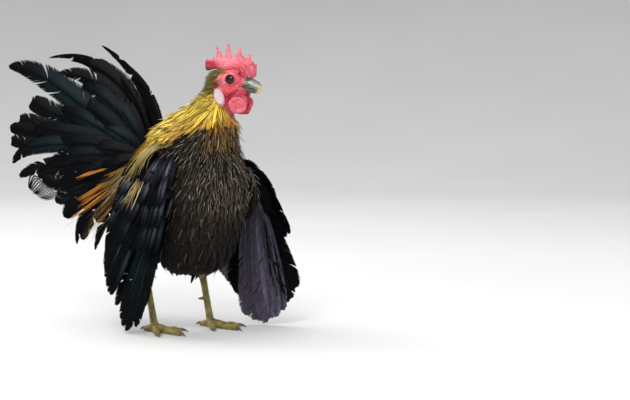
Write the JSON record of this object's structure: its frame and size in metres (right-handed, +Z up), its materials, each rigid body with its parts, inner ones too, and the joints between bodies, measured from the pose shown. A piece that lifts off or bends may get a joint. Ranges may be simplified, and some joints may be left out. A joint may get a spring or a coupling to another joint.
{
  "type": "serama chicken",
  "caption": "Life-size standing serama cock with an upright breast, gold hackles, an open black tail, let-down wings, a red comb and wattles, and olive legs.",
  "frame": {"origin": "centre of the bounding box seen from above, on the floor that the feet stand on", "axes": "+Z up, -Y the way the breast faces, +X the bird's left"},
  "size_m": [0.1676, 0.2408, 0.2568],
  "materials": {
    "bare_skin": "soft, pebbled, moist sheen",
    "ear_lobe": "smooth, dull",
    "eye": "wet, polished",
    "horn": "satin horn",
    "hackle": "silky feather",
    "body_plumage": "soft feather",
    "flight_plumage": "glossy feather with a green and blue sheen",
    "leg_scales": "scaled, dull",
    "claw": "worn horn"
  },
  "bodies": {
    "root": {"head": "bare_skin", "comb": "bare_skin", "wattle_right": "bare_skin", "wattle_left": "bare_skin", "earlobe_right": "ear_lobe", "earlobe_left": "ear_lobe", "eye_right": "eye", "eye_left": "eye", "beak_upper": "horn", "beak_lower": "horn", "neck": "hackle", "torso": "body_plumage", "thigh_right": "body_plumage", "thigh_left": "body_plumage", "wing_right": "flight_plumage", "wing_left": "flight_plumage", "tail_right": "flight_plumage", "tail_left": "flight_plumage", "shank_right": "leg_scales", "shank_left": "leg_scales", "foot_right": "leg_scales", "foot_left": "leg_scales", "claw_right_1": "claw", "claw_right_2": "claw", "claw_right_3": "claw", "claw_right_4": "claw", "claw_left_1": "claw", "claw_left_2": "claw", "claw_left_3": "claw", "claw_left_4": "claw"}
  },
  "joints": []
}
